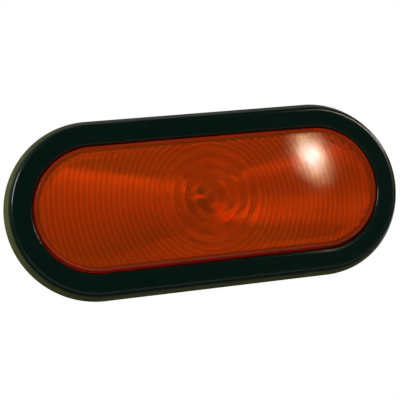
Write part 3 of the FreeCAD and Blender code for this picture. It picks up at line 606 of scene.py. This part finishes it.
# %% The lens's two faces
def crown_depth(radius):
    """Depth of the crowned outside at a distance from the axis."""
    return LENS_APEX + CROWN_RADIUS - math.sqrt(CROWN_RADIUS ** 2 - radius ** 2)


def valley_depth(radius):
    """Depth of the inside where the lens is thinnest, at a distance from the axis."""
    return LENS_APEX + WALL + radius ** 2 / (2 * CROWN_RADIUS)


def ring_section(reach, steps=4):
    """(radius, relief) points of the prism rings: crest, flank, valley, and out again."""
    turns = [i * BULLSEYE_PITCH / 2 for i in range(2 * BULLSEYE_RINGS + 2)]
    bullseye = turns[-1]
    while turns[-1] < reach:
        turns.append(turns[-1] + BAND_PITCH / 2)
    points = []
    for i, (near, far) in enumerate(zip(turns, turns[1:])):
        relief = BULLSEYE_RELIEF if far <= bullseye else BAND_RELIEF
        for step in range(steps):
            share = step / steps
            from_crest = share if i % 2 == 0 else 1 - share
            points.append((near + (far - near) * share, relief * (1 - from_crest ** FLUTE_SHAPE)))
    return points


ring_points = [(r, valley_depth(r) + relief)
               for r, relief in ring_section(HALF_SPINE + LENS_RADIUS)]
crown_points = [(r, crown_depth(r))
                for r in range(0, round(HALF_SPINE + LENS_RADIUS), CROWN_STEP)]
print("the ringed face's section has", len(ring_points), "points")


# %% Lens rim
def ring_depth(radius):
    """Depth of the ringed inside at a distance from the axis."""
    for (r0, d0), (r1, d1) in zip(ring_points, ring_points[1:]):
        if radius <= r1:
            return d0 + (d1 - d0) * (radius - r0) / (r1 - r0)
    return ring_points[-1][1]


def lens_rim(station):
    """The lens's edge at a station, from the rim of the hollow round to the start of the crown."""
    hollow = from_axis(at_station(station, 0, HOLLOW_RADIUS))
    edge = [(ring_depth(hollow), HOLLOW_RADIUS),
            (PARTING, HOLLOW_RADIUS), (PARTING, TONGUE_INNER), (TONGUE_TIP, TONGUE_INNER),
            (TONGUE_TIP, TONGUE_OUTER), (PARTING, TONGUE_OUTER), (PARTING, FLANGE_RADIUS),
            (FLANGE_FRONT, FLANGE_RADIUS), (FLANGE_FRONT, LENS_RADIUS)]
    top = crown_depth(from_axis(at_station(station, 0, LENS_RADIUS - EDGE_ROUND)))
    for i in range(EDGE_STEPS + 1):
        turn = math.pi / 2 * i / EDGE_STEPS
        edge.append((top + EDGE_ROUND * (1 - math.sin(turn)),
                     LENS_RADIUS - EDGE_ROUND * (1 - math.cos(turn))))
    edge.append((crown_depth(hollow), HOLLOW_RADIUS))
    return edge


# %% Dishes between the axis and the rim
RIM_CLEARANCE = 0.12


def fill_dish(mesh, rim, section):
    """Faces from the axis out to a closed rim. The section gives radius and depth from there."""
    hub = mesh.verts.new(Vector((0, section[0][1], 0)) * MM)
    columns = []
    for edge in rim:
        reach = from_axis(edge.co)
        across, up = edge.co.x / MM / reach, edge.co.z / MM / reach
        columns.append([mesh.verts.new(Vector((across * r, depth, up * r)) * MM)
                        for r, depth in section[1:] if r < reach - RIM_CLEARANCE] + [edge])
    for left, right in zip(columns, columns[1:] + columns[:1]):
        mesh.faces.new((hub, left[0], right[0]))
        if len(left) > len(right):
            left, right = right, left
        last = len(left) - 1
        for i in range(last):
            mesh.faces.new((left[i], left[i + 1], right[i + 1], right[i]))
        # The longer column has points left over, which fan out from the shorter one's end
        for i in range(last, len(right) - 1):
            mesh.faces.new((left[last], right[i + 1], right[i]))


# %% Lens mesh
# How high over its valley a ring has its deepest tint
BAND_DEEP, BULLSEYE_DEEP = BAND_RELIEF, 1.3 * BULLSEYE_RELIEF

mesh = bmesh.new()
thick_layer = mesh.verts.layers.float.new("thick")
wall_layer = mesh.verts.layers.float.new("wall")
rims = [[mesh.verts.new(at_station(s, depth, radius)) for depth, radius in lens_rim(s)]
        for s in stations]
join_rings(mesh, rims, closed=False)
fill_dish(mesh, [rim[0] for rim in rims], ring_points)
fill_dish(mesh, [rim[-1] for rim in rims], crown_points)
for rim in rims:
    for vertex in rim[1:-1]:
        vertex[wall_layer] = 1.0
for vertex in mesh.verts:
    radius = from_axis(vertex.co)
    deep = BAND_DEEP if radius > BULLSEYE_RADIUS else BULLSEYE_DEEP
    vertex[thick_layer] = min(max((vertex.co.y / MM - valley_depth(radius)) / deep, 0.0), 1.0)
lens = make_piece("lens_ringed", mesh, lens_red, "lamp", "lens")

# %% [markdown]
# ## The grommet
# The rubber ring has one section all the way round: a broad flange with a soft shoulder, a lip
# that closes over the lens's flange, a slot for the panel's edge and a tapered tail that lets the
# ring be pushed into its hole. The section is given as corners, some with a radius, and walked
# round the oval. Each point also says how much bloom, with its painted sheen, and how much shine
# lies on it.

# %% Grommet sizes, in millimetres
rubber_low, rubber_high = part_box("grommet")
FRONT = rubber_low.y / MM
FLANGE = rubber_high.z / MM
TAIL_END = rubber_high.y / MM
FLANGE_ROUND, LIP_ROUND = 1.4, 0.7
BEVEL_WIDTH, BEVEL_BACK = 2.8, -1.6
LIP_WIDTH, LIP_DROP = 0.8, 0.5
LENS_GAP = 0.3
LIP_INNER = LENS_RADIUS + LENS_GAP
POCKET = FLANGE_RADIUS + LENS_GAP
POCKET_FRONT, POCKET_BACK = FLANGE_FRONT - LENS_GAP, -0.8
COLLAR, COLLAR_BACK = 28.9, 2.3
TRAY, TRAY_FRONT = 27.5, 3.8
SLOT, SLOT_BACK = FLANGE - 8.9, 3.2
BARB, BARB_BACK = SLOT + 3.0, 5.2
TAIL = TRAY + 3.6
print("grommet flange radius", round(FLANGE, 2), "front at", round(FRONT, 2))

# %% Grommet section
shoulder = Vector((FRONT, FLANGE - BEVEL_WIDTH))
corner = Vector((BEVEL_BACK, FLANGE))
lip = Vector((FRONT + LIP_DROP, LIP_INNER + LIP_WIDTH))
# The points part of the way along a run hold the bloom with its painted sheen, and the shine, to
# their own stretches
section = round_corners([
    (0.0, FLANGE), (*corner, FLANGE_ROUND), shoulder.lerp(corner, 0.46),
    shoulder.lerp(corner, 0.3), (*shoulder, FLANGE_ROUND),
    shoulder.lerp(lip, 0.2), shoulder.lerp(lip, 0.8), (*lip, LIP_ROUND),
    (POCKET_FRONT, LIP_INNER), (POCKET_FRONT, POCKET), (POCKET_BACK, POCKET),
    (POCKET_BACK, COLLAR), (COLLAR_BACK, COLLAR), (TRAY_FRONT, TRAY),
    (TAIL_END, TRAY), (TAIL_END, TAIL, LIP_ROUND),
    (BARB_BACK, BARB, LIP_ROUND), (SLOT_BACK, BARB, LIP_ROUND), (SLOT_BACK, SLOT), (0.0, SLOT),
])
print("the grommet's section has", len(section), "points")

# %% Bloom with its painted sheen, and shine, on the grommet, by a point's distance from the flange's edge
BLOOM_AND_SHEEN_EDGE, BLOOM_AND_SHEEN_FADE = -1.95, 0.45
# The top and right keep the least of the bloom and its painted sheen, the bottom a little less
# than the left end
LEAST_SIDE_SHEEN = 0.35
UNDERSIDE = 0.9
SHINE_INNER, SHINE_OUTER = -3.9, -2.75
LIP_SHINE = 1.0


def bloom_and_sheen_at(station, point):
    """The flank's dusty bloom and painted sheen, laid on most at the left end and along the bottom
    so those sides look lit.
    """
    # Painted sheen: the left end and the bottom are made lighter as if lit, the top and right
    # darker
    side_sheen = LEAST_SIDE_SHEEN + (1 - LEAST_SIDE_SHEEN) * max(0.0, -station[1], -UNDERSIDE * station[2])
    return side_sheen * min(max((point[1] - FLANGE - BLOOM_AND_SHEEN_EDGE) / BLOOM_AND_SHEEN_FADE, 0.0), 1.0)


def shine_at(point):
    """1 on the shoulder and on the lip, 0 elsewhere."""
    on_shoulder = SHINE_INNER < point[1] - FLANGE < SHINE_OUTER
    return float(on_shoulder or (point - lip).length < LIP_SHINE)


# %% Grommet mesh
mesh = bmesh.new()
bloom_and_sheen_layer = mesh.verts.layers.float.new("bloom_and_sheen")
polish_layer = mesh.verts.layers.float.new("polish")
rings = []
for station in stations:
    ring = [mesh.verts.new(at_station(station, *point)) for point in section]
    for vertex, point in zip(ring, section):
        vertex[bloom_and_sheen_layer] = bloom_and_sheen_at(station, point)
        vertex[polish_layer] = shine_at(point)
    rings.append(ring)
join_rings(mesh, rings, closed=True)
grommet = make_piece("grommet_moulded", mesh, rubber, "grommet", "grommet", crease=40)

# %% Lamps that light the rubber alone
rubber_only = bpy.data.collections.new("rubber_only")
rubber_only.objects.link(grommet)
for box in rubber_boxes:
    box.light_linking.receiver_collection = rubber_only
print("only the grommet is lit by", [box.name for box in rubber_boxes])

# %% [markdown]
# ## The filaments
# The CAD model holds each filament as a plain bar. The real one is a coil of fine tungsten wire.
# A Screw modifier on a small circle could wind it, but a curve with a round bevel is lighter and
# stays editable: its points climb round the bar's outline, and the bevel draws the wire.

# %% Filament coils
WIRE = 0.07
TURNS = 24
POINTS_A_TURN = 14


def wind_filament(circuit):
    """A coil as long and as wide as the CAD model's bar for this circuit."""
    low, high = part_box(f"filament_{circuit}")
    middle = (low + high) / 2
    coil_radius = (high.z - low.z) / 2 - WIRE * MM
    curve = bpy.data.curves.new(f"coil_{circuit}", "CURVE")
    curve.dimensions = "3D"
    curve.bevel_depth = WIRE * MM
    curve.bevel_resolution = 2
    curve.use_fill_caps = True
    count = TURNS * POINTS_A_TURN
    spline = curve.splines.new("POLY")
    spline.points.add(count)
    for i, point in enumerate(spline.points):
        share = i / count
        turn = 2 * math.pi * i / POINTS_A_TURN
        along = low.x + WIRE * MM + (high.x - low.x - 2 * WIRE * MM) * share
        point.co = (along, middle.y + coil_radius * math.cos(turn),
                    middle.z + coil_radius * math.sin(turn), 1)
    coil = bpy.data.objects.new(f"coil_{circuit}", curve)
    curve.materials.append(tungsten)
    scene.collection.objects.link(coil)
    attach(coil, "lamp")
    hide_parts(f"filament_{circuit}")
    print(coil.name, "has", TURNS, "turns over", round((high.x - low.x) / MM, 1), "mm")


for circuit in ("stop", "tail"):
    wind_filament(circuit)
